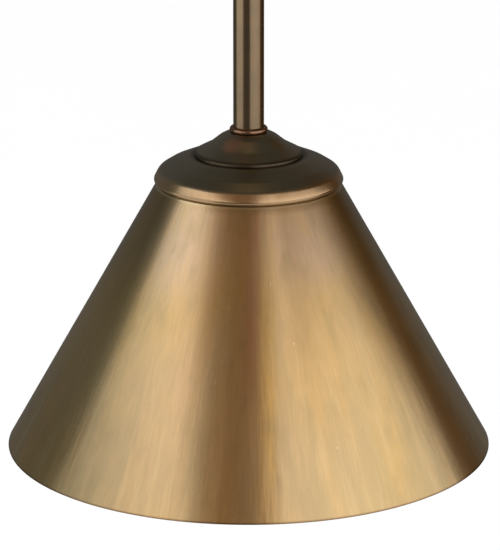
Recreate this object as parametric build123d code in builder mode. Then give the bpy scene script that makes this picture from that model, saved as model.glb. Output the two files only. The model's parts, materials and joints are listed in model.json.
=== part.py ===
"""Cone pendant lamp on a rigid stem, with a hang-straight swivel and a dished ceiling canopy.

The origin is the centre of the ceiling plane that the crossbar is screwed to, +Z points up into
the ceiling, and the lamp hangs below it. Millimetres throughout.
"""

import os
from math import cos, pi, radians, sin, tan

from build123d import *

# ---- driving dimensions -------------------------------------------------------------------

RIM_R = 127.0  # 10 inch shade
CONE_HALF_ANGLE = 29.35
CONE_HEIGHT = 141.2
SHADE_SHEET = 1.0
CAP_SHEET = 0.9

STEM_R = 15.875 / 2  # 5/8 inch tube
STEM_BORE_R = 6.7
STEM_LENGTH = 152.4  # 6 inch lengths
PIPE_R = 5.0  # 1/8 IP threaded pipe
PIPE_BORE_R = 3.25

CANOPY_R = 63.5
CANOPY_DEPTH = 24.0
BOX_SCREW_SPACING = 88.9  # 3 1/2 inch ceiling box
SLOT_LENGTH = 12.0
SLOT_R = 2.5

WIRE_R = 0.95
RUN_FIT = 0.05  # radial clearance of a turning fit

# ---- heights, from the ceiling down ---------------------------------------------------------

BAR_THICK = 2.4
BAR_DROP = 6.0  # the bar's middle sits this far below the ceiling
RING_TOP = -CANOPY_DEPTH
RING_HEIGHT = 5.0
BUSHING_TOP = RING_TOP - RING_HEIGHT
YOKE_TOP = BUSHING_TOP - 4.1
YOKE_HEAD = 8.4
NUT_TOP = BUSHING_TOP - 9.1
NUT_HEIGHT = 2.4
PIVOT_Z = -51.0
EYE_FLANGE_TOP = PIVOT_Z - 8.5
STEM_TOP = EYE_FLANGE_TOP - 3.0
COUPLING_HEIGHT = 6.0
COUPLING_TOP = STEM_TOP - STEM_LENGTH
LOWER_STEM_TOP = COUPLING_TOP - COUPLING_HEIGHT
STEM_END = LOWER_STEM_TOP - STEM_LENGTH

# ---- heights above the rim of the shade -----------------------------------------------------

COLLAR_SEAT = 169.2  # where the stem's end sits in its collar
RIM_Z = STEM_END - COLLAR_SEAT
BELL_TOP = 168.0
DOME_TOP = 155.8
WASHER_TOP = CONE_HEIGHT - SHADE_SHEET
SOCKET_TOP = WASHER_TOP - 1.2
BODY_TOP = 124.0
CONTACT_TOP = 115.0
BULB_TOP = 113.0
BULB_LENGTH = 105.0
GLASS_R = 30.0

THREAD_PITCH = 25.4 / 7  # medium screw base, seven threads to the inch


def above_rim(height):
    """Z of a height measured up from the shade's rim."""
    return RIM_Z + height


def cone_r(height):
    """Outside radius of the shade at a height above its rim."""
    return RIM_R - height * tan(radians(CONE_HALF_ANGLE))


# ---- shared shapes --------------------------------------------------------------------------


def rod(radius, top, length, mode=Mode.ADD):
    """An upright cylinder hanging down from top."""
    with Locations((0, 0, top)):
        Cylinder(radius, length, align=(Align.CENTER, Align.CENTER, Align.MAX), mode=mode)


def tube(radius, bore, top, length):
    """An upright tube hanging down from top."""
    rod(radius, top, length)
    rod(bore, top + 1, length + 2, mode=Mode.SUBTRACT)


def cross_rod(radius, x_from, x_to, z, mode=Mode.ADD):
    """A cylinder lying along X."""
    with Locations(Location((x_from, 0, z), (0, 90, 0))):
        bottom = (Align.CENTER, Align.CENTER, Align.MIN)
        Cylinder(radius, x_to - x_from, align=bottom, mode=mode)


def turned(points, mode=Mode.ADD):
    """A solid of revolution about Z from a closed outline of (radius, z) points."""
    with BuildSketch(Plane.XZ) as section:
        with BuildLine():
            Polyline(*points, close=True)
        make_face()
    revolve(section.sketch, axis=Axis.Z, mode=mode)


def spun(points, radii, thickness, side=Side.RIGHT):
    """Sheet metal spun to an outline of (radius, z) points with rounded corners."""
    with BuildSketch(Plane.XZ) as section:
        with BuildLine():
            outline = FilletPolyline(*points, radius=radii)
            offset(outline, amount=thickness, side=side)
        make_face()
    revolve(section.sketch, axis=Axis.Z)


def wire(points, radius, bends):
    """A round wire along straight runs joined by bends."""
    with BuildLine() as route:
        FilletPolyline(*points, radius=bends)
    start = Plane(route.line @ 0, z_dir=route.line % 0)
    with BuildSketch(start) as section:
        Circle(radius)
    sweep(section.sketch, path=route.line)


def screw_thread(root_r, amplitude, top, turns):
    """Points of a rounded screw-base thread profile, from the top turn down."""
    steps = 8
    points = []
    for step in range(turns * steps + 1):
        phase = 2 * pi * step / steps
        radius = root_r + amplitude * (1 - cos(phase))
        points.append((radius, top - THREAD_PITCH * step / steps))
    return points


def save(piece, name):
    piece.part.label = name
    export_step(piece.part, f"parts/{name}.step")


os.makedirs("parts", exist_ok=True)

# ---- ceiling hardware -----------------------------------------------------------------------

BAR_HALF = 54.0
BAR_WIDTH = 22.0
BAR_MIDDLE = 16.0  # half length of the dropped middle
BAR_SHOULDER = 24.0  # where the ramp meets the flat ends
GROUND_X = 30.0

with BuildPart() as crossbar:
    with BuildSketch(Plane.XZ):
        with BuildLine():
            Polyline(
                (BAR_HALF, 0),
                (BAR_SHOULDER, 0),
                (BAR_MIDDLE, -BAR_DROP),
                (-BAR_MIDDLE, -BAR_DROP),
                (-BAR_SHOULDER, 0),
                (-BAR_HALF, 0),
                (-BAR_HALF, -BAR_THICK),
                (-BAR_SHOULDER - 1, -BAR_THICK),
                (-BAR_MIDDLE - 1, -BAR_DROP - BAR_THICK),
                (BAR_MIDDLE + 1, -BAR_DROP - BAR_THICK),
                (BAR_SHOULDER + 1, -BAR_THICK),
                (BAR_HALF, -BAR_THICK),
                close=True,
            )
        make_face()
    extrude(amount=BAR_WIDTH / 2, both=True)
    corners = crossbar.edges().filter_by(Axis.Z).group_by(lambda edge: abs(edge.center().X))[-1]
    fillet(corners, radius=4)
    with BuildSketch(Plane.XY):
        with Locations((BOX_SCREW_SPACING / 2, 0), (-BOX_SCREW_SPACING / 2, 0)):
            SlotOverall(SLOT_LENGTH, 2 * SLOT_R)
        Circle(PIPE_R)
        with Locations((GROUND_X, 0)):
            Circle(2.0)
    extrude(amount=-20, mode=Mode.SUBTRACT)
save(crossbar, "crossbar")

with BuildPart() as ground_screw:
    with Locations((GROUND_X, 0, 0)):
        Cylinder(2.0, BAR_THICK, align=(Align.CENTER, Align.CENTER, Align.MAX))
    with BuildSketch(Plane.XY.offset(-BAR_THICK)):
        with Locations((GROUND_X, 0)):
            RegularPolygon(4.2, 6)
    extrude(amount=-3.0)
    with BuildSketch(Plane.XY.offset(-BAR_THICK - 3.0)):
        with Locations((GROUND_X, 0)):
            Rectangle(10, 0.9)
    extrude(amount=1.1, mode=Mode.SUBTRACT)
save(ground_screw, "ground_screw")

NIPPLE_END = NUT_TOP - NUT_HEIGHT
with BuildPart() as canopy_nipple:
    tube(PIPE_R, PIPE_BORE_R, -BAR_DROP, -BAR_DROP - NIPPLE_END)
save(canopy_nipple, "canopy_nipple")

with BuildPart() as nipple_locknut:
    with BuildSketch(Plane.XY.offset(-BAR_DROP - BAR_THICK)):
        RegularPolygon(8.2, 6)
        Circle(PIPE_R, mode=Mode.SUBTRACT)
    extrude(amount=-3.0)
save(nipple_locknut, "nipple_locknut")

with BuildPart() as canopy:
    spun(
        [
            (PIPE_R + 0.25, -CANOPY_DEPTH),
            (12.0, -CANOPY_DEPTH),
            (20.5, -19.4),
            (29.0, -16.9),
            (31.5, -15.6),
            (47.0, -13.6),
            (59.5, -8.2),
            (CANOPY_R, -3.6),
            (CANOPY_R, 0),
        ],
        [3.0, 12.0, 1.2, 1.2, 20.0, 6.0, 3.0],
        CAP_SHEET,
        side=Side.LEFT,
    )
save(canopy, "canopy")

KNURLS = 36
with BuildPart() as canopy_ring:
    turned(
        [
            (PIPE_R, RING_TOP),
            (10.2, RING_TOP),
            (11.0, RING_TOP - 0.8),
            (11.0, BUSHING_TOP + 0.8),
            (10.2, BUSHING_TOP),
            (PIPE_R, BUSHING_TOP),
        ]
    )
    with PolarLocations(11.2, KNURLS):
        with Locations((0, 0, (RING_TOP + BUSHING_TOP) / 2)):
            Cylinder(0.45, RING_HEIGHT + 2, mode=Mode.SUBTRACT)
save(canopy_ring, "canopy_ring")

SPIGOT_R = 6.0
YOKE_R = 10.0
STOP_R = 8.0  # circle that the stop pin runs on
STOP_PIN_R = 0.8
with BuildPart() as swivel_bushing:
    turned(
        [
            (PIPE_R, BUSHING_TOP),
            (9.2, BUSHING_TOP),
            (YOKE_R, BUSHING_TOP - 0.8),
            (YOKE_R, BUSHING_TOP - 4),
            (SPIGOT_R, BUSHING_TOP - 4),
            (SPIGOT_R, NUT_TOP),
            (PIPE_R, NUT_TOP),
        ]
    )
    with Locations((STOP_R, 0, BUSHING_TOP - 4)):
        Cylinder(STOP_PIN_R, 5, mode=Mode.SUBTRACT)
save(swivel_bushing, "swivel_bushing")

with BuildPart() as swivel_stop_pin:
    with Locations((STOP_R, 0, BUSHING_TOP - 1.5)):
        Cylinder(STOP_PIN_R, 3.9, align=(Align.CENTER, Align.CENTER, Align.MAX))
save(swivel_stop_pin, "swivel_stop_pin")

SWIVEL_NUT_R = 7.5
with BuildPart() as swivel_nut:
    tube(SWIVEL_NUT_R, PIPE_R, NUT_TOP, NUT_HEIGHT)
    with BuildSketch(Plane.XY.offset(NUT_TOP - NUT_HEIGHT)):
        Rectangle(2 * SWIVEL_NUT_R + 1, 1.6)
        Circle(PIPE_R, mode=Mode.SUBTRACT)
    extrude(amount=1.2, mode=Mode.SUBTRACT)
save(swivel_nut, "swivel_nut")

# ---- wiring under the canopy ----------------------------------------------------------------

CONNECTOR_R = 4.6
CONNECTOR_LENGTH = 19.0
CONNECTOR_Z = -7.0
HOT_MOUTH = (4.0, 32.0, CONNECTOR_Z)
GROUND_MOUTH = (GROUND_X, 19.0, -6.6)
WIRE_OFFSET = 1.25


def lead_route(side):
    """A lead from the swivel up through the pipe, over the bar and into its connector."""
    points = [
        (WIRE_OFFSET, 0, NIPPLE_END),
        (WIRE_OFFSET, 0, -2.3),
        (WIRE_OFFSET, 17, -2.3),
        (10.0, 22.5, -4.6),
        (13.5, 32.0, CONNECTOR_Z),
        (HOT_MOUTH[0] - 6, 32.0, CONNECTOR_Z),
    ]
    return [(side * x, side * y, z) for x, y, z in points]


LEAD_BENDS = [3.0, 8.0, 4.5, 3.2]
with BuildPart() as canopy_hot_wire:
    wire(lead_route(1), WIRE_R, LEAD_BENDS)
save(canopy_hot_wire, "canopy_hot_wire")

with BuildPart() as canopy_neutral_wire:
    wire(lead_route(-1), WIRE_R, LEAD_BENDS)
save(canopy_neutral_wire, "canopy_neutral_wire")

with BuildPart() as ground_wire:
    wire(
        [
            (GROUND_X, 3.8, -3.9),
            (GROUND_X, 11.5, -3.9),
            (GROUND_X, 16.0, -6.6),
            (GROUND_X, 25.0, -6.6),
        ],
        WIRE_R,
        [5.0, 5.0],
    )
save(ground_wire, "ground_wire")

connector_places = [
    Location(HOT_MOUTH, (0, -90, 0)),
    Location((-HOT_MOUTH[0], -HOT_MOUTH[1], CONNECTOR_Z), (0, 90, 0)),
    Location(GROUND_MOUTH, (-90, 0, 0)),
]
with BuildPart() as connector_form:
    with BuildSketch(Plane.XZ):
        with BuildLine():
            Polyline(
                (WIRE_R, 0),
                (CONNECTOR_R, 0),
                (CONNECTOR_R, 4.0),
                (3.1, CONNECTOR_LENGTH - 1.5),
                (2.2, CONNECTOR_LENGTH),
                (0, CONNECTOR_LENGTH),
                (0, 6.0),
                (WIRE_R, 6.0),
                close=True,
            )
        make_face()
    revolve(axis=Axis.Z)
    ribs = 8
    with PolarLocations(CONNECTOR_R + 0.35, ribs):
        with Locations((0, 0, CONNECTOR_LENGTH / 2 + 2)):
            Cylinder(0.9, CONNECTOR_LENGTH - 2, mode=Mode.SUBTRACT)
with BuildPart() as wire_connectors:
    with Locations(*connector_places):
        add(connector_form.part)
save(wire_connectors, "wire_connectors")

# ---- swivel yoke ----------------------------------------------------------------------------

EYE_HALF = 5.8
EYE_R = 6.8
LUG_IN = 6.2
LUG_R = 7.0
HEAD_BOTTOM = YOKE_TOP - YOKE_HEAD
PIVOT_R = 2.0
SPOT_FACE_X = 9.2  # flats under the pivot screws' heads
SPOT_FACE_R = 3.8
STOP_HALF_ANGLE = 9.0  # half width of the block that the stop pin meets

with BuildPart() as swivel_yoke:
    rod(YOKE_R, YOKE_TOP, YOKE_HEAD)
    with BuildSketch(Plane.YZ):
        with Locations((0, PIVOT_Z)):
            Circle(LUG_R)
        with Locations((0, (PIVOT_Z + HEAD_BOTTOM) / 2)):
            Rectangle(2 * LUG_R, HEAD_BOTTOM - PIVOT_Z)
    extrude(amount=YOKE_R, both=True)
    with BuildSketch(Plane.XY.offset(YOKE_TOP)):
        Circle(YOKE_R)
    extrude(amount=-40, mode=Mode.INTERSECT)
    with Locations((0, 0, HEAD_BOTTOM)):
        slot_top = (Align.CENTER, Align.CENTER, Align.MAX)
        Box(2 * LUG_IN, 40, 40, align=slot_top, mode=Mode.SUBTRACT)
    rod(SPIGOT_R + RUN_FIT, YOKE_TOP + 1, 20, mode=Mode.SUBTRACT)
    counterbore = SWIVEL_NUT_R + 0.3
    rod(counterbore, NUT_TOP + 0.05, NUT_TOP + 0.05 - HEAD_BOTTOM, mode=Mode.SUBTRACT)
    cross_rod(PIVOT_R, -YOKE_R - 1, YOKE_R + 1, PIVOT_Z, mode=Mode.SUBTRACT)
    cross_rod(SPOT_FACE_R, SPOT_FACE_X, YOKE_R + 1, PIVOT_Z, mode=Mode.SUBTRACT)
    cross_rod(SPOT_FACE_R, -YOKE_R - 1, -SPOT_FACE_X, PIVOT_Z, mode=Mode.SUBTRACT)
    with BuildSketch(Plane.XY.offset(YOKE_TOP)):
        Circle(STOP_R + 0.9)
        Circle(STOP_R - 0.9, mode=Mode.SUBTRACT)
        with Locations((-STOP_R, 0)):
            Rectangle(4, 2 * STOP_R * sin(radians(STOP_HALF_ANGLE)), mode=Mode.SUBTRACT)
    extrude(amount=-1.7, mode=Mode.SUBTRACT)
save(swivel_yoke, "swivel_yoke")

with BuildPart() as pivot_screws:
    for side in (1, -1):
        ends = sorted((side * 3.4, side * SPOT_FACE_X))
        cross_rod(PIVOT_R, ends[0], ends[1], PIVOT_Z)
        head = sorted((side * SPOT_FACE_X, side * (SPOT_FACE_X + 1.8)))
        cross_rod(3.6, head[0], head[1], PIVOT_Z)
        with Locations((side * (SPOT_FACE_X + 1.8), 0, PIVOT_Z)):
            Box(1.6, 0.9, 10, mode=Mode.SUBTRACT)
save(pivot_screws, "pivot_screws")

# ---- hanging stem ---------------------------------------------------------------------------

SPIGOT_LENGTH = 9.0
with BuildPart() as swivel_eye:
    cross_rod(EYE_R, -EYE_HALF, EYE_HALF, PIVOT_Z)
    with Locations((0, 0, PIVOT_Z)):
        under = (Align.CENTER, Align.CENTER, Align.MAX)
        Box(2 * EYE_HALF, 2 * 5.4, PIVOT_Z - EYE_FLANGE_TOP, align=under)
    rod(9.5, EYE_FLANGE_TOP, EYE_FLANGE_TOP - STEM_TOP)
    rims = swivel_eye.edges().filter_by(GeomType.CIRCLE).filter_by(lambda edge: edge.radius > 9)
    fillet(rims, radius=0.9)
    rod(STEM_BORE_R, STEM_TOP, SPIGOT_LENGTH)
    rod(3.0, 0, 100, mode=Mode.SUBTRACT)
    cross_rod(PIVOT_R + RUN_FIT, -EYE_HALF, EYE_HALF, PIVOT_Z, mode=Mode.SUBTRACT)
save(swivel_eye, "swivel_eye")

with BuildPart() as upper_stem:
    tube(STEM_R, STEM_BORE_R, STEM_TOP, STEM_LENGTH)
save(upper_stem, "upper_stem")

COUPLING_R = 9.3
with BuildPart() as stem_coupling:
    rod(COUPLING_R, COUPLING_TOP, COUPLING_HEIGHT)
    fillet(stem_coupling.edges(), radius=1.4)
    rod(STEM_BORE_R, COUPLING_TOP + SPIGOT_LENGTH, COUPLING_HEIGHT + 2 * SPIGOT_LENGTH)
    rod(4.0, 0, 400, mode=Mode.SUBTRACT)
save(stem_coupling, "stem_coupling")

with BuildPart() as lower_stem:
    tube(STEM_R, STEM_BORE_R, LOWER_STEM_TOP, STEM_LENGTH)
save(lower_stem, "lower_stem")

with BuildPart() as stem_end_bushing:
    tube(STEM_BORE_R, PIPE_R, STEM_END + 12, 11)
save(stem_end_bushing, "stem_end_bushing")

STEM_NIPPLE_TOP = above_rim(178.0)
STEM_NIPPLE_END = above_rim(134.5)
with BuildPart() as stem_nipple:
    tube(PIPE_R, PIPE_BORE_R, STEM_NIPPLE_TOP, STEM_NIPPLE_TOP - STEM_NIPPLE_END)
save(stem_nipple, "stem_nipple")

COLLAR_BEAD_R = 8.15
COLLAR_BULGE = 1.7
COLLAR_HEIGHT = 3.0
with BuildPart() as collar_ring:
    with BuildSketch(Plane.XZ):
        with BuildLine():
            base = above_rim(BELL_TOP)
            mid = base + COLLAR_HEIGHT / 2
            top = base + COLLAR_HEIGHT
            seat = above_rim(COLLAR_SEAT)
            ThreePointArc((COLLAR_BEAD_R, base), (COLLAR_BEAD_R + COLLAR_BULGE, mid), (COLLAR_BEAD_R, top))
            Polyline(
                (COLLAR_BEAD_R, top),
                (STEM_R + 0.04, top),
                (STEM_R + 0.04, seat),
                (PIPE_R + 0.15, seat),
                (PIPE_R + 0.15, base),
                (COLLAR_BEAD_R, base),
            )
        make_face()
    revolve(axis=Axis.Z)
save(collar_ring, "collar_ring")

# ---- cap and shade --------------------------------------------------------------------------

with BuildPart() as bell_cap:
    spun(
        [
            (PIPE_R + 0.25, above_rim(BELL_TOP)),
            (10.8, above_rim(BELL_TOP)),
            (14.8, above_rim(165.95)),
            (20.2, above_rim(161.6)),
            (28.2, above_rim(157.3)),
            (28.2, above_rim(DOME_TOP)),
        ],
        [5.0, 12.0, 14.0, 1.3],
        CAP_SHEET,
    )
save(bell_cap, "bell_cap")

with BuildPart() as dome_cap:
    spun(
        [
            (PIPE_R + 0.25, above_rim(DOME_TOP)),
            (30.8, above_rim(DOME_TOP)),
            (41.2, above_rim(151.5)),
            (46.7, above_rim(148.0)),
            (49.3, above_rim(142.9)),
            (47.9, above_rim(140.9)),
        ],
        [14.0, 10.0, 5.0, 1.8],
        CAP_SHEET,
    )
save(dome_cap, "dome_cap")

with BuildPart() as shade:
    spun(
        [
            (PIPE_R + 0.25, above_rim(CONE_HEIGHT)),
            (cone_r(CONE_HEIGHT), above_rim(CONE_HEIGHT)),
            (RIM_R, RIM_Z),
        ],
        [1.4],
        SHADE_SHEET,
    )
    rim_edges = shade.edges().sort_by(Axis.Z)[:2]
    fillet(rim_edges, radius=0.35)
save(shade, "shade")

# ---- socket ---------------------------------------------------------------------------------

with BuildPart() as shade_washer:
    tube(15.0, PIPE_R + 0.15, above_rim(WASHER_TOP), WASHER_TOP - SOCKET_TOP)
save(shade_washer, "shade_washer")

SOCKET_R = 17.0
SOCKET_SHEET = 0.8
SHELL_R = SOCKET_R - SOCKET_SHEET
with BuildPart() as socket_cap:
    turned(
        [
            (PIPE_R, above_rim(SOCKET_TOP)),
            (7.6, above_rim(SOCKET_TOP)),
            (7.6, above_rim(134.0)),
            (11.0, above_rim(132.6)),
            (15.0, above_rim(129.6)),
            (SOCKET_R, above_rim(126.4)),
            (SOCKET_R, above_rim(120.0)),
            (SHELL_R, above_rim(120.0)),
            (SHELL_R, above_rim(126.0)),
            (14.4, above_rim(129.0)),
            (10.6, above_rim(131.8)),
            (7.6, above_rim(132.9)),
            (PIPE_R, above_rim(133.2)),
        ]
    )
    cross_rod(1.5, -9, -PIPE_R, above_rim(136.4), mode=Mode.SUBTRACT)
save(socket_cap, "socket_cap")

with BuildPart() as socket_set_screw:
    cross_rod(1.5, -9.4, -PIPE_R, above_rim(136.4))
    with Locations((-9.4, 0, above_rim(136.4))):
        Box(1.2, 0.6, 4, mode=Mode.SUBTRACT)
save(socket_set_screw, "socket_set_screw")

SHELL_TOP = 126.0
SHELL_END = 91.0
with BuildPart() as socket_shell:
    turned(
        [
            (SHELL_R, above_rim(SHELL_TOP)),
            (SHELL_R, above_rim(97.0)),
            (SHELL_R + 0.7, above_rim(96.2)),
            (SHELL_R + 0.7, above_rim(94.8)),
            (SHELL_R, above_rim(94.0)),
            (SHELL_R, above_rim(SHELL_END)),
            (SHELL_R - 0.5, above_rim(SHELL_END)),
            (SHELL_R - 0.5, above_rim(SHELL_TOP)),
        ]
    )
save(socket_shell, "socket_shell")

LINER_R = SHELL_R - 0.5
LINER_BORE = LINER_R - 0.7
with BuildPart() as socket_liner:
    tube(LINER_R, LINER_BORE, above_rim(125.4), 125.4 - 90.2)
save(socket_liner, "socket_liner")

TERMINAL_X = 11.3
TERMINAL_H = 119.5
with BuildPart() as socket_body:
    rod(LINER_BORE, above_rim(BODY_TOP), BODY_TOP - CONTACT_TOP)
    for side in (1, -1):
        with Locations((side * (TERMINAL_X + 5), 0, above_rim((BODY_TOP + CONTACT_TOP) / 2))):
            Box(10, 40, 20, mode=Mode.SUBTRACT)
    cross_rod(1.6, -TERMINAL_X - 1, TERMINAL_X + 1, above_rim(TERMINAL_H), mode=Mode.SUBTRACT)
    rod(2.2, above_rim(BODY_TOP + 1), 20, mode=Mode.SUBTRACT)
save(socket_body, "socket_body")

with BuildPart() as terminal_screws:
    for side in (1, -1):
        shank = sorted((side * 4.0, side * TERMINAL_X))
        cross_rod(1.6, shank[0], shank[1], above_rim(TERMINAL_H))
        head = sorted((side * TERMINAL_X, side * (TERMINAL_X + 1.4)))
        cross_rod(2.7, head[0], head[1], above_rim(TERMINAL_H))
        with Locations((side * (TERMINAL_X + 1.4), 0, above_rim(TERMINAL_H))):
            Box(1.0, 8, 0.7, mode=Mode.SUBTRACT)
save(terminal_screws, "terminal_screws")

with BuildPart() as centre_contact:
    with Locations((0, 0, above_rim(CONTACT_TOP))):
        Box(4.4, 11.0, 0.5, align=(Align.CENTER, Align.CENTER, Align.MAX))
    with Locations((0, 0, above_rim(CONTACT_TOP - 0.5))):
        Cylinder(2.0, CONTACT_TOP - 0.5 - BULB_TOP, align=(Align.CENTER, Align.CENTER, Align.MAX))
save(centre_contact, "centre_contact")

THREAD_TURNS = 4
SCREW_SHELL_TOP = 112.0
BASE_TOP = 109.0
ROOT_R = 12.1
RIDGE = 0.45
SHELL_GAP = 0.35
SHELL_SHEET = 0.4
with BuildPart() as screw_shell:
    inner_r = ROOT_R + SHELL_GAP
    thread = screw_thread(inner_r, RIDGE, above_rim(BASE_TOP), THREAD_TURNS + 1)
    outer = [(radius + SHELL_SHEET, z) for radius, z in reversed(thread)]
    lip = [
        (inner_r + SHELL_SHEET, above_rim(SCREW_SHELL_TOP)),
        (LINER_BORE, above_rim(SCREW_SHELL_TOP)),
        (LINER_BORE, above_rim(SCREW_SHELL_TOP + 0.5)),
        (inner_r, above_rim(SCREW_SHELL_TOP + 0.5)),
    ]
    turned(thread + outer + lip)
save(screw_shell, "screw_shell")

# ---- bulb -----------------------------------------------------------------------------------

with BuildPart() as bulb_base:
    thread = screw_thread(ROOT_R, RIDGE, above_rim(BASE_TOP), THREAD_TURNS)
    bottom_z = thread[-1][1]
    outline = [(5.0, above_rim(111.2)), (10.4, above_rim(111.2)), (11.6, above_rim(110.4))]
    outline += thread
    outline += [(ROOT_R, bottom_z - 3.4), (13.1, bottom_z - 4.6), (13.1, bottom_z - 5.6)]
    outline += [(12.7, bottom_z - 5.6), (ROOT_R - 0.4, bottom_z - 3.6), (ROOT_R - 0.4, above_rim(109.4))]
    outline += [(10.2, above_rim(110.6)), (5.0, above_rim(110.6))]
    turned(outline)
save(bulb_base, "bulb_base")

with BuildPart() as bulb_insulator:
    turned(
        [
            (2.4, above_rim(112.2)),
            (5.6, above_rim(112.2)),
            (9.6, above_rim(111.2)),
            (5.0, above_rim(111.2)),
            (5.0, above_rim(110.6)),
            (2.4, above_rim(110.6)),
        ]
    )
save(bulb_insulator, "bulb_insulator")

with BuildPart() as bulb_tip:
    turned(
        [
            (0, above_rim(BULB_TOP)),
            (1.6, above_rim(BULB_TOP)),
            (4.0, above_rim(112.2)),
            (2.4, above_rim(112.2)),
            (2.4, above_rim(110.0)),
            (0, above_rim(110.0)),
        ]
    )
save(bulb_tip, "bulb_tip")

BULB_END = BULB_TOP - BULB_LENGTH
BALL_H = BULB_END + GLASS_R
NECK_R = 11.4
NECK_TOP = 104.0
GLASS_SHEET = 0.8


def envelope(inset, mode):
    """The bulb's pear shape, moved inwards by inset: a ball that runs into a straight neck."""
    ball_z = above_rim(BALL_H)
    ball_r = GLASS_R - inset
    low_angle = radians(-30)
    high_angle = radians(28)
    low = (ball_r * cos(low_angle), ball_z + ball_r * sin(low_angle))
    high = (ball_r * cos(high_angle), ball_z + ball_r * sin(high_angle))
    neck = (NECK_R - inset, above_rim(84.0))
    with BuildSketch(Plane.XZ) as section:
        with BuildLine():
            bowl = ThreePointArc((0, ball_z - ball_r), low, high)
            Spline(high, neck, tangents=(bowl % 1, (0, 1)))
            Polyline(neck, (neck[0], above_rim(NECK_TOP)), (0, above_rim(NECK_TOP)))
            Line((0, above_rim(NECK_TOP)), (0, ball_z - ball_r))
        make_face()
    revolve(section.sketch, axis=Axis.Z, mode=mode)


with BuildPart() as bulb_glass:
    envelope(0, Mode.ADD)
    envelope(GLASS_SHEET, Mode.SUBTRACT)
save(bulb_glass, "bulb_glass")

MOUNT_TOP = 103.0
with BuildPart() as bulb_mount:
    turned(
        [
            (2.0, above_rim(MOUNT_TOP)),
            (9.6, above_rim(MOUNT_TOP)),
            (9.6, above_rim(MOUNT_TOP - 1.2)),
            (4.2, above_rim(90.0)),
            (3.0, above_rim(74.0)),
            (2.4, above_rim(71.0)),
            (0, above_rim(70.0)),
            (0, above_rim(76.0)),
            (1.6, above_rim(78.0)),
            (2.0, above_rim(92.0)),
        ]
    )
save(bulb_mount, "bulb_mount")

FILAMENT_H = 48.0
SUPPORT_X = 9.0
with BuildPart() as filament:
    wire(
        [
            (1.4, 0, above_rim(70.2)),
            (2.2, 0, above_rim(64.0)),
            (SUPPORT_X, 0, above_rim(FILAMENT_H + 3)),
            (SUPPORT_X, 0, above_rim(FILAMENT_H)),
            (0, 4.5, above_rim(FILAMENT_H - 1.5)),
            (-SUPPORT_X, 0, above_rim(FILAMENT_H)),
            (-SUPPORT_X, 0, above_rim(FILAMENT_H + 3)),
            (-2.2, 0, above_rim(64.0)),
            (-1.4, 0, above_rim(70.2)),
        ],
        0.3,
        [2.0, 1.2, 1.0, 3.0, 1.0, 1.2, 2.0],
    )
save(filament, "filament")

# ---- wires in the stem ----------------------------------------------------------------------

WIRE_TOP = PIVOT_Z + 1.0


def socket_wire_route(side):
    """From a terminal screw into the pipe and up the stem to the swivel."""
    points = [
        (12.9, 0, above_rim(122.4)),
        (12.9, 0, above_rim(127.6)),
        (WIRE_OFFSET, 0, above_rim(130.2)),
        (WIRE_OFFSET, 0, WIRE_TOP),
    ]
    return [(side * x, y, z) for x, y, z in points]


with BuildPart() as hot_wire:
    wire(socket_wire_route(1), WIRE_R, [2.4, 2.4])
save(hot_wire, "hot_wire")

with BuildPart() as neutral_wire:
    wire(socket_wire_route(-1), WIRE_R, [2.4, 2.4])
save(neutral_wire, "neutral_wire")
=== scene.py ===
"""Looks of the cone pendant lamp: lathed brass, bronze tube, bulb and fittings round the CAD frame."""

import json
from math import ceil, cos, pi, radians, sin, tan

import bpy
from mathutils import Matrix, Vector, noise


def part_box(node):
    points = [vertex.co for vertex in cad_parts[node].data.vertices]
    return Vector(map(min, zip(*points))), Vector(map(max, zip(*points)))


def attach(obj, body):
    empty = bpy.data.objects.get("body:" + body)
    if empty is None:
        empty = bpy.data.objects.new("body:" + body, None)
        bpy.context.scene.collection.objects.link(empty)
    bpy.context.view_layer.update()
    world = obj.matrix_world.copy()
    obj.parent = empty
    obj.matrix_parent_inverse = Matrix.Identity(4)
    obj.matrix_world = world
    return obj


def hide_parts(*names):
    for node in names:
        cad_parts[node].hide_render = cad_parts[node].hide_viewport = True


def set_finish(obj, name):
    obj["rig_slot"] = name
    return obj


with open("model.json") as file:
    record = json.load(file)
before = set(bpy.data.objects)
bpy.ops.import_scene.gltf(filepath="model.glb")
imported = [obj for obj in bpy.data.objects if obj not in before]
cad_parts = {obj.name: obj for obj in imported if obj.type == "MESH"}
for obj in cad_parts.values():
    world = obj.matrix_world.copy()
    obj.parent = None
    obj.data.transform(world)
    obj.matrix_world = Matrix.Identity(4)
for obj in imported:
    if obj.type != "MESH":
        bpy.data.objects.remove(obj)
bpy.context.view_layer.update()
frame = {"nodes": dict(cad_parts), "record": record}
nodes = frame["nodes"]

MM = 0.001

# ---- dimensions, in metres ------------------------------------------------------------------

RIM_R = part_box("shade")[1].x
STEM_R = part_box("lower_stem")[1].x
STEM_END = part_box("lower_stem")[0].z
CONE_HALF_ANGLE = radians(29.35)
CONE_HEIGHT = 141.2 * MM
SHADE_SHEET = 1.0 * MM
CAP_SHEET = 0.9 * MM
COLLAR_SEAT = 169.2 * MM
RIM_Z = STEM_END - COLLAR_SEAT
BELL_TOP = 168.0
DOME_TOP = 155.8
PIPE_R = 5.0
HOLE_R = PIPE_R + 0.25
CANOPY_R = 63.5
CANOPY_DEPTH = 24.0

AROUND = 320  # facets round a large turned piece
ARC_STEPS = 8  # pieces in a rounded corner of an outline
EDGE_STEPS = 5  # pieces in the rounded edge of a sheet
TURNED_CREASE = radians(32)
CAD_CREASE = radians(28)


# ---- shapes ---------------------------------------------------------------------------------


def above_rim(points):
    """Outline points in millimetres above the rim, as metres in the frame."""
    return [(radius * MM, RIM_Z + height * MM) for radius, height in points]


def below_ceiling(points):
    """Outline points in millimetres, with the ceiling plane at 0, as metres."""
    return [(radius * MM, height * MM) for radius, height in points]


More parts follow.
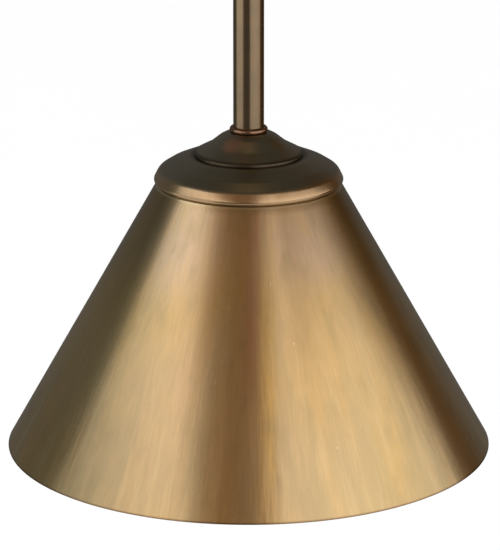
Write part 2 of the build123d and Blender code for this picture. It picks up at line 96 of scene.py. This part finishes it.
def rounded(points, radii):
    """An open outline whose inner corners are arcs of the given radii, in millimetres."""
    line = [points[0]]
    for before, corner, after, radius in zip(points, points[1:], points[2:], radii):
        corner = Vector(corner)
        back = (Vector(before) - corner).normalized()
        ahead = (Vector(after) - corner).normalized()
        half = back.angle(ahead) / 2
        reach = radius * MM / tan(half)
        middle = corner + (back + ahead).normalized() * (radius * MM / sin(half))
        start = corner + back * reach - middle
        end = corner + ahead * reach - middle
        turn = start.angle_signed(end)
        for step in range(ARC_STEPS + 1):
            angle = -turn * step / ARC_STEPS
            spoke = Vector((start.x * cos(angle) - start.y * sin(angle),
                            start.x * sin(angle) + start.y * cos(angle)))
            line.append(tuple(middle + spoke))
    line.append(points[-1])
    return line


def densified(line, longest):
    """The outline with its long runs cut into pieces no longer than longest."""
    points = [line[0]]
    for start, end in zip(line, line[1:]):
        gap = (Vector(end) - Vector(start)).length
        count = max(1, ceil(gap / longest))
        for step in range(1, count + 1):
            points.append(tuple(Vector(start).lerp(Vector(end), step / count)))
    return points


def thickened(line, thickness):
    """Closed outline of sheet metal: the line, a rounded edge, the line moved in, a rounded edge."""
    bulge = 0.2 * abs(thickness)
    for end, neighbour in ((0, 1), (-1, -2)):
        inward = (Vector(line[neighbour]) - Vector(line[end])).normalized()
        line[end] = tuple(Vector(line[end]) + inward * bulge)
    inner = []
    for index, point in enumerate(line):
        before = Vector(line[max(index - 1, 0)])
        after = Vector(line[min(index + 1, len(line) - 1)])
        along = (after - before).normalized()
        inner.append(tuple(Vector(point) + Vector((along.y, -along.x)) * thickness))
    far_edge = round_edge(line[-1], inner[-1], bulge)
    near_edge = round_edge(inner[0], line[0], bulge)
    return line + far_edge + inner[::-1] + near_edge


def round_edge(start, end, bulge):
    """Points of a half ellipse from start to end, standing out to the right by bulge."""
    middle = (Vector(start) + Vector(end)) / 2
    spoke = Vector(start) - middle
    out = Vector((-spoke.y, spoke.x)).normalized() * bulge
    points = []
    for step in range(1, EDGE_STEPS):
        angle = pi * step / EDGE_STEPS
        points.append(tuple(middle + spoke * cos(angle) + out * sin(angle)))
    return points


def mesh_object(name, vertices, faces):
    """A smooth-shaded mesh with creases kept where its faces meet sharply."""
    mesh = bpy.data.meshes.new(name)
    mesh.from_pydata(vertices, [], faces)
    mesh.validate()
    mesh.shade_smooth()
    mesh.set_sharp_from_angle(angle=TURNED_CREASE)
    piece = bpy.data.objects.new(name, mesh)
    bpy.context.scene.collection.objects.link(piece)
    return piece


def lathe(name, outline, around=AROUND, ripple=0.0):
    """Turns a closed outline of (radius, z) about the lamp's axis, with a slight hand-made ripple."""
    count = len(outline)
    vertices = []
    for turn in range(around):
        angle = 2 * pi * turn / around
        for radius, z in outline:
            wave = 0.0
            if ripple:
                where = Vector((1.7 * cos(angle), 1.7 * sin(angle), 14 * z))
                wave = ripple * (noise.noise(where) - 1) / 2
            vertices.append(((radius + wave) * cos(angle), (radius + wave) * sin(angle), z))
    faces = []
    for turn in range(around):
        here = turn * count
        there = (turn + 1) % around * count
        for index in range(count):
            following = (index + 1) % count
            faces.append((here + index, there + index, there + following, here + following))
    return mesh_object(name, vertices, faces)


def stands_for(piece, body, node, slot):
    """Rides a Blender piece on its body in place of a CAD node."""
    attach(piece, body)
    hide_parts(node)
    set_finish(piece, slot)
    return piece


# ---- materials ------------------------------------------------------------------------------

BRASS_TINT = (0.80, 0.82, 0.78, 1.0)
BRIGHT_SPECK = (1.0, 0.93, 0.78)
METAL_GRAIN = 900.0


class Nodes:
    """A material's node tree with short calls for the nodes it is made of."""

    def __init__(self, name):
        self.material = bpy.data.materials.new(name)
        self.material.use_nodes = True
        self.tree = self.material.node_tree
        self.shader = self.tree.nodes["Principled BSDF"]

    def put(self, target, value):
        """Links a socket, or sets a plain value."""
        if isinstance(value, bpy.types.NodeSocket):
            self.tree.links.new(value, target)
        else:
            target.default_value = value

    def set(self, **values):
        """Sets the shader's inputs by name, with _ for a space."""
        for name, value in values.items():
            self.put(self.shader.inputs[name.replace("_", " ")], value)

    def math(self, operation, first, second=0.0, clamp=False):
        node = self.tree.nodes.new("ShaderNodeMath")
        node.operation = operation
        node.use_clamp = clamp
        self.put(node.inputs[0], first)
        self.put(node.inputs[1], second)
        return node.outputs[0]

    def combine(self, x, y, z):
        node = self.tree.nodes.new("ShaderNodeCombineXYZ")
        for socket, value in zip(node.inputs, (x, y, z)):
            self.put(socket, value)
        return node.outputs[0]

    def place(self):
        """Object coordinates and their parts."""
        coordinates = self.tree.nodes.new("ShaderNodeTexCoord").outputs["Object"]
        parts = self.tree.nodes.new("ShaderNodeSeparateXYZ")
        self.tree.links.new(coordinates, parts.inputs[0])
        return coordinates, parts.outputs

    def turn(self):
        """The point's direction from the lamp's axis, as the x and y of a unit circle, and its z."""
        _, (x, y, z) = self.place()
        squares = self.math("ADD", self.math("MULTIPLY", x, x), self.math("MULTIPLY", y, y))
        distance = self.math("MAXIMUM", self.math("SQRT", squares), 0.0005)
        return self.math("DIVIDE", x, distance), self.math("DIVIDE", y, distance), z

    def round_place(self, z_scale):
        """Coordinates that run round the lamp's axis, with z scaled, for streaks along a piece."""
        turn_x, turn_y, z = self.turn()
        return self.combine(turn_x, turn_y, self.math("MULTIPLY", z, z_scale))

    def painted_side_shade(self):
        """A soft mask of the shade's left and right sides where they near the cap, where shade is painted.
        """
        turn_x, _, z = self.turn()
        sides = self.span(self.math("ABSOLUTE", turn_x), 0.78, 0.89, 0.0, 1.0, smooth=True)
        rising = self.span(z, RIM_Z + 75 * MM, RIM_Z + 135 * MM, 0.0, 1.0)
        below_cap = self.span(z, RIM_Z + 141 * MM, RIM_Z + 150 * MM, 1.0, 0.0)
        return self.math("MULTIPLY", sides, self.math("MULTIPLY", rising, below_cap))

    def noise(self, where, scale, detail=3.0, roughness=0.55, distortion=0.0):
        node = self.tree.nodes.new("ShaderNodeTexNoise")
        self.put(node.inputs["Vector"], where)
        self.put(node.inputs["Scale"], scale)
        self.put(node.inputs["Detail"], detail)
        self.put(node.inputs["Roughness"], roughness)
        self.put(node.inputs["Distortion"], distortion)
        return node.outputs["Fac"]

    def spot(self, centre, radius, coordinates):
        """A soft round patch: 1 at a place in millimetres above the rim's centre, 0 beyond radius."""
        node = self.tree.nodes.new("ShaderNodeVectorMath")
        node.operation = "DISTANCE"
        self.put(node.inputs[0], coordinates)
        self.put(node.inputs[1], (centre[0] * MM, centre[1] * MM, RIM_Z + centre[2] * MM))
        return self.span(node.outputs["Value"], 0.2 * radius * MM, radius * MM, 0.85, 0.0, smooth=True)

    def stripe(self, place, centre, half_width, low, high):
        """A soft upright stripe on the front: centred on an x, fading out at two heights, in mm."""
        x, y, z = place
        off = self.math("ABSOLUTE", self.math("SUBTRACT", x, centre * MM))
        across = self.span(off, 0.2 * half_width * MM, half_width * MM, 0.8, 0.0, smooth=True)
        front = self.span(y, -5 * MM, 0.0, 1.0, 0.0)
        foot = self.span(z, RIM_Z + low * MM, RIM_Z + (low + 35) * MM, 0.0, 1.0, smooth=True)
        head = self.span(z, RIM_Z + (high - 35) * MM, RIM_Z + high * MM, 1.0, 0.0, smooth=True)
        upright = self.math("MULTIPLY", foot, head)
        return self.math("MULTIPLY", self.math("MULTIPLY", across, front), upright)

    def specks(self, where, scale, size):
        """Small round spots: 1 inside a spot, 0 elsewhere."""
        node = self.tree.nodes.new("ShaderNodeTexVoronoi")
        self.put(node.inputs["Vector"], where)
        self.put(node.inputs["Scale"], scale)
        return self.ramp(node.outputs["Distance"], [(0.0, 1.0), (size, 0.0)])

    def ramp(self, value, stops):
        """A value mapped through (position, value) or (position, colour) stops."""
        node = self.tree.nodes.new("ShaderNodeValToRGB")
        stops_left = node.color_ramp.elements
        while len(stops_left) < len(stops):
            stops_left.new(1.0)
        for element, (position, level) in zip(stops_left, stops):
            colour = level if isinstance(level, tuple) else (level, level, level)
            element.position = position
            element.color = (*colour, 1.0)
        self.put(node.inputs["Fac"], value)
        return node.outputs["Color"]

    def blend(self, share, first, second):
        """Mixes two colours by share."""
        node = self.tree.nodes.new("ShaderNodeMix")
        node.data_type = "RGBA"
        self.put(node.inputs[0], share)
        for socket, value in ((node.inputs[6], first), (node.inputs[7], second)):
            self.put(socket, (*value, 1.0) if isinstance(value, tuple) else value)
        return node.outputs[2]

    def span(self, value, low, high, to_low, to_high, smooth=False):
        node = self.tree.nodes.new("ShaderNodeMapRange")
        node.interpolation_type = "SMOOTHSTEP" if smooth else "LINEAR"
        for socket, given in zip(node.inputs, (value, low, high, to_low, to_high)):
            self.put(socket, given)
        return node.outputs[0]

    def band(self, z, low, high):
        """1 between two heights in millimetres above the rim, 0 outside."""
        over = self.span(z, RIM_Z + (low - 0.2) * MM, RIM_Z + (low + 0.2) * MM, 0.0, 1.0)
        under = self.span(z, RIM_Z + (high - 0.5) * MM, RIM_Z + (high + 0.5) * MM, 1.0, 0.0)
        return self.math("MULTIPLY", over, under)

    def bump(self, height, depth, strength=1.0):
        """Feeds a height into the shader's normal; depth is in metres."""
        node = self.tree.nodes.new("ShaderNodeBump")
        self.put(node.inputs["Strength"], strength)
        self.put(node.inputs["Distance"], depth)
        self.put(node.inputs["Height"], height)
        self.tree.links.new(node.outputs[0], self.shader.inputs["Normal"])
        return self


def antique_brass(name, brass, golden, pale, roughness):
    """Hand-rubbed brass: soft golden and pale clouds under feathery streaks that fade upwards."""
    m = Nodes(name)
    coordinates, (x, y, z) = m.place()
    near_rim = m.span(z, RIM_Z, RIM_Z + 110 * MM, 1.0, 0.3, smooth=True)
    clouds = m.noise(m.round_place(5.0), 1.5, detail=3.0, distortion=0.3)
    colour = m.blend(m.ramp(clouds, [(0.38, 0.0), (0.62, 1.0)]), brass, golden)
    colour = m.blend(m.spot((-40, -56, 128), 46, coordinates), colour, pale)
    colour = m.blend(m.spot((29, -50, 124), 34, coordinates), colour, pale)
    colour = m.blend(m.spot((36, -84, 60), 42, coordinates), colour, golden)
    colour = m.blend(m.stripe((x, y, z), 2.0, 5.0, 50, 170), colour, (0.80, 0.47, 0.28))
    colour = m.blend(m.stripe((x, y, z), 9.5, 7.0, -10, 125), colour, (0.88, 0.58, 0.20))
    blotches = m.noise(m.round_place(7.0), 6.5, detail=4.0, roughness=0.6)
    colour = m.blend(m.ramp(blotches, [(0.52, 0.0), (0.68, 0.45)]), colour, (0.58, 0.44, 0.23))
    colour = m.blend(m.ramp(blotches, [(0.34, 0.5), (0.48, 0.0)]), colour, (0.90, 0.63, 0.31))
    broad = m.noise(m.round_place(1.7), 7.0, detail=3.0, roughness=0.5)
    narrow = m.noise(m.round_place(1.0), 19.0, detail=4.0, roughness=0.5)
    fine = m.noise(m.round_place(0.7), 110.0, detail=3.0, roughness=0.6)
    grey_share = m.math("MULTIPLY", m.ramp(broad, [(0.42, 0.0), (0.64, 0.7)]), near_rim)
    colour = m.blend(grey_share, colour, (0.67, 0.53, 0.29))
    light_share = m.math("MULTIPLY", m.ramp(narrow, [(0.50, 0.0), (0.66, 0.55)]), near_rim)
    colour = m.blend(light_share, colour, (0.90, 0.67, 0.36))
    colour = m.blend(m.ramp(fine, [(0.30, 0.0), (0.80, 0.20)]), colour, (0.42, 0.29, 0.14))
    # painted shade: the shade's left and right sides darkened towards the cap
    colour = m.blend(m.math("MULTIPLY", m.painted_side_shade(), 0.8), colour, (0.40, 0.28, 0.14))
    # darker in the last millimetre above the rim
    rim_darkening = m.span(z, RIM_Z + 0.2 * MM, RIM_Z + 1.3 * MM, 0.8, 0.0, smooth=True)
    colour = m.blend(rim_darkening, colour, (0.20, 0.12, 0.07))
    # worn bright and painted highlight: a thin light line round the shade's shoulder just under the cap
    shoulder_wear_and_highlight = m.math("MULTIPLY", m.band(z, 139.6, 141.5), 0.5)
    colour = m.blend(shoulder_wear_and_highlight, colour, (0.95, 0.75, 0.44))
    colour = m.blend(m.specks(coordinates, 62.0, 0.035), colour, BRIGHT_SPECK)
    rough = m.math("ADD", roughness - 0.05, m.math("MULTIPLY", broad, 0.10))
    m.set(Metallic=1.0, Base_Color=colour, Roughness=rough, Specular_Tint=BRASS_TINT)
    rubbing = m.math("MULTIPLY", m.math("ADD", broad, m.math("MULTIPLY", narrow, 0.35)), near_rim)
    relief = m.math("ADD", rubbing, m.math("MULTIPLY", fine, 0.05))
    return m.bump(relief, 0.2 * MM, 1.0).material


def patinated_brass(name, brass, patina, roughness):
    """Brass caps: dark oxide on the shoulders, rubbed bright round the lowest edge, and grime with painted
    shade darkening the bell's lip and the dome's lip.
    """
    m = Nodes(name)
    coordinates, (_, _, z) = m.place()
    clouds = m.noise(coordinates, 60.0, detail=4.0, roughness=0.6)
    fine = m.noise(m.round_place(1.6), 90.0, detail=3.0, roughness=0.6)
    wavy_z = m.math("ADD", z, m.math("MULTIPLY", m.math("SUBTRACT", clouds, 0.5), 2.0 * MM))
    oxide = m.span(wavy_z, RIM_Z + 146.4 * MM, RIM_Z + 149.4 * MM, 0.0, 1.0, smooth=True)
    colour = m.blend(m.math("MULTIPLY", oxide, m.span(clouds, 0.3, 0.7, 1.0, 0.82)), brass, patina)
    colour = m.blend(m.spot((-8.5, -14.5, 164), 8, coordinates), colour, (1.0, 0.52, 0.34))
    # grime and painted shade in the joints: the bell's lip and the dome's lower lip darkened
    dome_lip = m.math("MULTIPLY", m.band(z, 140.3, 141.9), 0.7)
    joint_grime_and_shade = m.math("ADD", m.band(z, 155.7, 157.9), dome_lip)
    colour = m.blend(m.math("MULTIPLY", joint_grime_and_shade, 0.92), colour, (0.08, 0.062, 0.045))
    colour = m.blend(m.ramp(fine, [(0.30, 0.0), (0.80, 0.22)]), colour, (0.30, 0.21, 0.11))
    colour = m.blend(m.specks(coordinates, 90.0, 0.045), colour, BRIGHT_SPECK)
    rough = m.span(oxide, 0.0, 1.0, roughness, roughness + 0.12)
    m.set(Metallic=1.0, Base_Color=colour, Roughness=rough, Specular_Tint=BRASS_TINT)
    relief = m.math("ADD", m.math("MULTIPLY", clouds, 0.6), m.math("MULTIPLY", fine, 0.3))
    return m.bump(relief, 0.03 * MM).material


def satin_bronze(name, light, dark, roughness):
    """Plated bronze with faint lengthwise drawing marks."""
    m = Nodes(name)
    lines = m.noise(m.round_place(1.0), 60.0, detail=3.0)
    clouds = m.noise(m.place()[0], 90.0, detail=3.0)
    colour = m.blend(m.ramp(clouds, [(0.35, 0.0), (0.7, 1.0)]), light, dark)
    rough = m.span(lines, 0.3, 0.7, roughness - 0.04, roughness + 0.05)
    m.set(Metallic=1.0, Base_Color=colour, Roughness=rough, Specular_Tint=(0.7, 0.66, 0.6, 1.0))
    return m.bump(lines, 0.02 * MM, 0.3).material


def plain_metal(name, light, dark, roughness, metallic=1.0):
    """Rolled or plated metal with a fine mottle; dull plating is less metallic."""
    m = Nodes(name)
    where = m.place()[0]
    mottle = m.noise(where, METAL_GRAIN, detail=2.0)
    clouds = m.noise(where, METAL_GRAIN / 9, detail=3.0)
    colour = m.blend(m.ramp(clouds, [(0.35, 0.0), (0.7, 1.0)]), light, dark)
    rough = m.span(mottle, 0.3, 0.7, roughness - 0.05, roughness + 0.07)
    m.set(Metallic=metallic, Base_Color=colour, Roughness=rough)
    return m.bump(mottle, 0.01 * MM, 0.4).material


def moulded(name, light, dark, roughness, grain=1500.0):
    """Moulded plastic, insulation, fibre or paint with a fine surface grain."""
    m = Nodes(name)
    where = m.place()[0]
    grit = m.noise(where, grain, detail=2.0)
    clouds = m.noise(where, grain / 12, detail=3.0)
    colour = m.blend(m.ramp(clouds, [(0.35, 0.0), (0.7, 1.0)]), light, dark)
    m.set(Base_Color=colour, Roughness=m.span(grit, 0.3, 0.7, roughness - 0.06, roughness + 0.06))
    return m.bump(grit, 0.015 * MM, 0.4).material


def frosted_glass():
    """Soft white bulb glass: powder on the inside of a thin clear skin."""
    m = Nodes("frosted_glass")
    powder = m.noise(m.place()[0], 700.0, detail=3.0)
    colour = m.blend(m.ramp(powder, [(0.3, 0.0), (0.7, 1.0)]), (0.90, 0.89, 0.86), (0.84, 0.83, 0.79))
    m.set(Base_Color=colour, Roughness=0.22, Subsurface_Weight=0.5, Subsurface_Scale=0.004)
    m.set(Subsurface_Radius=(1.0, 0.9, 0.8), Coat_Weight=0.6, Coat_Roughness=0.06)
    return m.bump(powder, 0.01 * MM, 0.15).material


def clear_glass():
    """The bulb's clear inner stem."""
    m = Nodes("clear_glass")
    waves = m.noise(m.place()[0], 260.0, detail=1.0)
    m.set(Base_Color=(0.93, 0.96, 0.95, 1.0), Roughness=0.03, Transmission_Weight=1.0, IOR=1.5)
    return m.bump(waves, 0.05 * MM, 0.2).material


MATERIALS = {
    "antique_brass": antique_brass(
        "antique_brass", (0.80, 0.57, 0.32), (0.80, 0.555, 0.25), (0.82, 0.60, 0.42), 0.26),
    "antique_brass_dark": patinated_brass(
        "antique_brass_dark", (0.70, 0.48, 0.28), (0.40, 0.355, 0.26), 0.25),
    "bronze": satin_bronze("bronze", (0.55, 0.33, 0.21), (0.42, 0.25, 0.16), 0.24),
    "bronze_tube": satin_bronze("bronze_tube", (0.43, 0.305, 0.185), (0.37, 0.275, 0.18), 0.21),
    "zinc_steel": plain_metal("zinc_steel", (0.62, 0.62, 0.60), (0.48, 0.49, 0.50), 0.34, 0.6),
    "green_screw": moulded("green_screw", (0.03, 0.24, 0.08), (0.02, 0.17, 0.06), 0.35),
    "socket_brass": plain_metal("socket_brass", (0.84, 0.62, 0.30), (0.72, 0.50, 0.22), 0.26),
    "fibre": moulded("fibre", (0.17, 0.14, 0.11), (0.11, 0.09, 0.07), 0.75, 700.0),
    "phenolic": moulded("phenolic", (0.035, 0.028, 0.026), (0.02, 0.017, 0.016), 0.25),
    "bulb_metal": plain_metal("bulb_metal", (0.80, 0.80, 0.78), (0.68, 0.68, 0.67), 0.30),
    "black_glass": moulded("black_glass", (0.02, 0.02, 0.025), (0.012, 0.012, 0.016), 0.12),
    "solder": plain_metal("solder", (0.60, 0.60, 0.58), (0.48, 0.48, 0.47), 0.42, 0.8),
    "frosted_glass": frosted_glass(),
    "clear_glass": clear_glass(),
    "tungsten": plain_metal("tungsten", (0.36, 0.36, 0.38), (0.26, 0.26, 0.28), 0.40),
    "black_insulation": moulded("black_insulation", (0.022, 0.022, 0.023), (0.014, 0.014, 0.014), 0.50),
    "white_insulation": moulded("white_insulation", (0.80, 0.80, 0.76), (0.72, 0.71, 0.67), 0.50),
    "green_insulation": moulded("green_insulation", (0.03, 0.22, 0.07), (0.02, 0.16, 0.05), 0.50),
    "orange_plastic": moulded("orange_plastic", (0.72, 0.25, 0.03), (0.62, 0.19, 0.02), 0.42),
}


# ---- turned pieces --------------------------------------------------------------------------


def make_shade():
    top_r = RIM_R - CONE_HEIGHT * tan(CONE_HALF_ANGLE)
    line = rounded(
        [(HOLE_R * MM, RIM_Z + CONE_HEIGHT), (top_r, RIM_Z + CONE_HEIGHT), (RIM_R, RIM_Z)], [1.4])
    outline = thickened(densified(line, 5 * MM), SHADE_SHEET)
    piece = lathe("shade_spun", outline, ripple=0.12 * MM)
    return stands_for(piece, "pendant", "shade", "antique_brass")


def make_dome_cap():
    line = rounded(above_rim([(HOLE_R, DOME_TOP), (30.8, DOME_TOP), (41.2, 151.5), (46.7, 148.0),
                              (49.3, 142.9), (47.9, 140.9)]), [14.0, 10.0, 5.0, 1.8])
    piece = lathe("dome_cap_spun", thickened(densified(line, 3 * MM), CAP_SHEET))
    return stands_for(piece, "pendant", "dome_cap", "antique_brass_dark")


def make_bell_cap():
    line = rounded(above_rim([(HOLE_R, BELL_TOP), (10.8, BELL_TOP), (14.8, 165.95), (20.2, 161.6),
                              (28.2, 157.3), (28.2, DOME_TOP)]), [5.0, 12.0, 14.0, 1.3])
    piece = lathe("bell_cap_spun", thickened(densified(line, 2 * MM), CAP_SHEET), around=240)
    return stands_for(piece, "pendant", "bell_cap", "antique_brass_dark")


def make_collar():
    bead = [(8.15 + 1.7 * cos(pi * step / 12 - pi / 2), 169.5 + 1.5 * sin(pi * step / 12 - pi / 2))
            for step in range(13)]
    outline = above_rim(bead + [(7.98, 171.0), (7.98, 169.2), (5.15, 169.2), (5.15, 168.0)])
    piece = lathe("collar_ring_turned", outline, around=128)
    return stands_for(piece, "pendant", "collar_ring", "bronze")


def make_stem(node):
    low, high = (corner.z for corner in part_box(node))
    bore = 6.7 * MM
    edge = 0.3 * MM
    outline = [(STEM_R - edge, low), (STEM_R, low + edge)]
    outline += densified([(STEM_R, low + edge), (STEM_R, high - edge)], 8 * MM)[1:]
    outline += [(STEM_R - edge, high), (bore, high), (bore, low)]
    piece = lathe(node + "_tube", outline, around=96)
    return stands_for(piece, "pendant", node, "bronze_tube")


def make_canopy():
    profile = [(HOLE_R, -CANOPY_DEPTH), (12.0, -CANOPY_DEPTH), (20.5, -19.4), (29.0, -16.9), (31.5, -15.6),
               (47.0, -13.6), (59.5, -8.2), (CANOPY_R, -3.6), (CANOPY_R, 0.0)]
    line = rounded(below_ceiling(profile), [3.0, 12.0, 1.2, 1.2, 20.0, 6.0, 3.0])
    outline = thickened(densified(line, 3 * MM), -CAP_SHEET)
    piece = lathe("canopy_spun", outline, around=256)
    return stands_for(piece, "ceiling", "canopy", "antique_brass")


turned = [make_shade(), make_dome_cap(), make_bell_cap(), make_collar(), make_stem("upper_stem"),
          make_stem("lower_stem"), make_canopy()]

# ---- materials on every piece ---------------------------------------------------------------

slot_of = {part["node"]: part["material_slot"] for part in frame["record"]["subparts"]}
for name, node in nodes.items():
    node.data.materials.clear()
    node.data.materials.append(MATERIALS[slot_of[name]])
    node.data.shade_smooth()
    node.data.set_sharp_from_angle(angle=CAD_CREASE)
for piece in turned:
    piece.data.materials.append(MATERIALS[piece["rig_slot"]])

# ---- stage, light and camera ----------------------------------------------------------------

AIM = Vector((0.0007, 0, RIM_Z + 0.7135 * RIM_R))  # the point in the middle of the view
CAMERA_ELEVATION = 16.85
CAMERA_RIM_RADII = 14  # distance, in rim radii
CAMERA_LENS = 223.0
FLOOR_HALF = 60.0
FLOOR_LEVEL = -3.2
WARM_FRONT = (0.21, 0.133, 0.075)
LOW_FRONT = (0.09, 0.08, 0.07)
OLIVE_SIDE = (0.07, 0.078, 0.07)
BROWN_SIDE = (0.075, 0.04, 0.008)
GREY_BACK = (0.13, 0.13, 0.14)
OVERHEAD = (0.06, 0.06, 0.052)
UNDERFOOT = (0.45, 0.44, 0.42)
BLACK = (0, 0, 0)
WHITE = (1, 1, 1)


def direction(azimuth, elevation):
    """Unit vector from the lamp; azimuth 0 is towards the camera and grows to the right."""
    a, e = radians(azimuth), radians(elevation)
    return Vector((sin(a) * cos(e), -cos(a) * cos(e), sin(e)))


def softbox(name, facing, distance, start, end, bottom, top, low, full, dim, brightness=1.0):
    """An upright panel of light that faces the lamp squarely at one azimuth.

    It runs from start to end along its plane, with azimuth growing, and from bottom to top. All
    of these, and the levels low and full, are measured in metres from where the camera aims.
    It glows at full strength above full and falls to dim below low.
    """
    light = bpy.data.lights.new(name, "AREA")
    light.shape = "RECTANGLE"
    light.size = end - start
    light.size_y = top - bottom
    light.energy = pi * light.size * light.size_y * brightness
    light.use_nodes = True
    tree = light.node_tree
    place = tree.nodes.new("ShaderNodeNewGeometry").outputs["Position"]
    parts = tree.nodes.new("ShaderNodeSeparateXYZ")
    tree.links.new(place, parts.inputs[0])
    fade = tree.nodes.new("ShaderNodeMapRange")
    tree.links.new(parts.outputs[2], fade.inputs[0])
    for socket, level in zip(list(fade.inputs)[1:5], (AIM.z + low, AIM.z + full, dim, 1.0)):
        socket.default_value = level
    tree.links.new(fade.outputs[0], tree.nodes["Emission"].inputs["Strength"])
    lamp = bpy.data.objects.new(name, light)
    bpy.context.scene.collection.objects.link(lamp)
    out = direction(facing, 0)
    along = direction(facing + 90, 0)
    lamp.location = AIM + out * distance + along * (start + end) / 2 + Vector((0, 0, (bottom + top) / 2))
    lamp.rotation_euler = out.to_track_quat("Z", "Y").to_euler()
    lamp.visible_camera = False


softbox("right_front_softbox", 42, 1.0, -0.60, -0.1, -1.2, 0.86, -0.3, 0.35, 0.42, 0.92)
softbox("right_softbox", 42, 1.0, -0.1, 1.3, -1.2, 0.70, -0.3, 0.35, 0.42)
softbox("right_far_softbox", 42, 1.0, 1.3, 2.95, 0.2, 0.64, 0.2, 0.35, 0.9)
softbox("left_softbox", -75, 1.0, -0.40, 1.43, 0.15, 0.87, 0.17, 0.62, 0.25, 0.95)
softbox("left_low_softbox", -75, 1.0, -0.5, 0.66, -1.2, 0.08, -0.2, 0.08, 0.42)


def make_world():
    """White for the floor and the camera; the metal mirrors a dim room, warm at the front."""
    world = bpy.data.worlds.new("studio")
    bpy.context.scene.world = world
    world.use_nodes = True
    world.cycles.sampling_method = "NONE"
    tree = world.node_tree

    def ramp(value, stops):
        """A part of the direction, from -1 to 1, mapped through (part, colour) stops."""
        fit = tree.nodes.new("ShaderNodeMapRange")
        tree.links.new(value, fit.inputs[0])
        fit.inputs[1].default_value = -1
        fit.inputs[2].default_value = 1
        colours = tree.nodes.new("ShaderNodeValToRGB")
        colours.color_ramp.interpolation = "EASE"
        while len(colours.color_ramp.elements) < len(stops):
            colours.color_ramp.elements.new(1.0)
        for element, (place, colour) in zip(colours.color_ramp.elements, stops):
            element.position = (place + 1) / 2
            element.color = (*colour, 1.0)
        tree.links.new(fit.outputs[0], colours.inputs[0])
        return colours.outputs[0]

    def plain(colour):
        node = tree.nodes.new("ShaderNodeRGB")
        node.outputs[0].default_value = (*colour, 1.0)
        return node.outputs[0]

    def blend(share, first, second):
        mix = tree.nodes.new("ShaderNodeMix")
        mix.data_type = "RGBA"
        for socket, source in ((mix.inputs[0], share), (mix.inputs[6], first), (mix.inputs[7], second)):
            tree.links.new(source, socket)
        return mix.outputs[2]

    towards = tree.nodes.new("ShaderNodeTexCoord").outputs["Generated"]
    parts = tree.nodes.new("ShaderNodeSeparateXYZ")
    tree.links.new(towards, parts.inputs[0])
    x, y, z = parts.outputs
    height = ramp(z, [(0.1, BLACK), (0.45, WHITE)])
    front = blend(height, plain(LOW_FRONT), plain(WARM_FRONT))
    nearness = ramp(y, [(-0.6, WHITE), (0.0, BLACK)])
    left = blend(nearness, ramp(y, [(0.2, OLIVE_SIDE), (0.9, GREY_BACK)]), front)
    right = blend(nearness, ramp(y, [(0.6, BROWN_SIDE), (0.9, GREY_BACK)]), front)
    level = blend(ramp(x, [(-0.25, BLACK), (0.25, WHITE)]), left, right)
    above = ramp(z, [(0.66, BLACK), (0.78, WHITE)])
    below = ramp(z, [(-0.75, WHITE), (-0.4, BLACK)])
    dim = tree.nodes.new("ShaderNodeBackground")
    tree.links.new(blend(below, blend(above, level, plain(OVERHEAD)), plain(UNDERFOOT)), dim.inputs[0])
    pale = tree.nodes["Background"]
    pale.inputs[0].default_value = (1.0, 1.0, 1.0, 1.0)
    pale.inputs[1].default_value = 1.1
    path = tree.nodes.new("ShaderNodeLightPath")
    mix = tree.nodes.new("ShaderNodeMixShader")
    tree.links.new(path.outputs["Is Glossy Ray"], mix.inputs[0])
    tree.links.new(pale.outputs[0], mix.inputs[1])
    tree.links.new(dim.outputs[0], mix.inputs[2])
    tree.links.new(mix.outputs[0], tree.nodes["World Output"].inputs[0])


def make_floor():
    """A plain pale floor a room's height below the ceiling."""
    signs = ((-1, -1), (1, -1), (1, 1), (-1, 1))
    corners = [(x * FLOOR_HALF, y * FLOOR_HALF, FLOOR_LEVEL) for x, y in signs]
    floor = mesh_object("floor", corners, [(0, 1, 2, 3)])
    m = Nodes("floor_white")
    mottle = m.noise(m.place()[0], 0.4)
    m.set(Base_Color=m.blend(mottle, (0.95, 0.95, 0.95), (0.93, 0.93, 0.93)), Roughness=0.9)
    floor.data.materials.append(m.material)
    floor.visible_glossy = False


def make_camera():
    """Long lens, a little above the lamp's shade, looking slightly down."""
    camera = bpy.data.objects.new("camera", bpy.data.cameras.new("camera"))
    bpy.context.scene.collection.objects.link(camera)
    camera.data.sensor_width = 36.0
    camera.data.lens = CAMERA_LENS
    camera.data.clip_end = 200.0
    towards = direction(0, CAMERA_ELEVATION)
    camera.location = AIM + towards * CAMERA_RIM_RADII * RIM_R
    camera.rotation_euler = towards.to_track_quat("Z", "Y").to_euler()
    bpy.context.scene.camera = camera


make_world()
make_floor()
make_camera()
bpy.context.scene.view_settings.view_transform = "Standard"
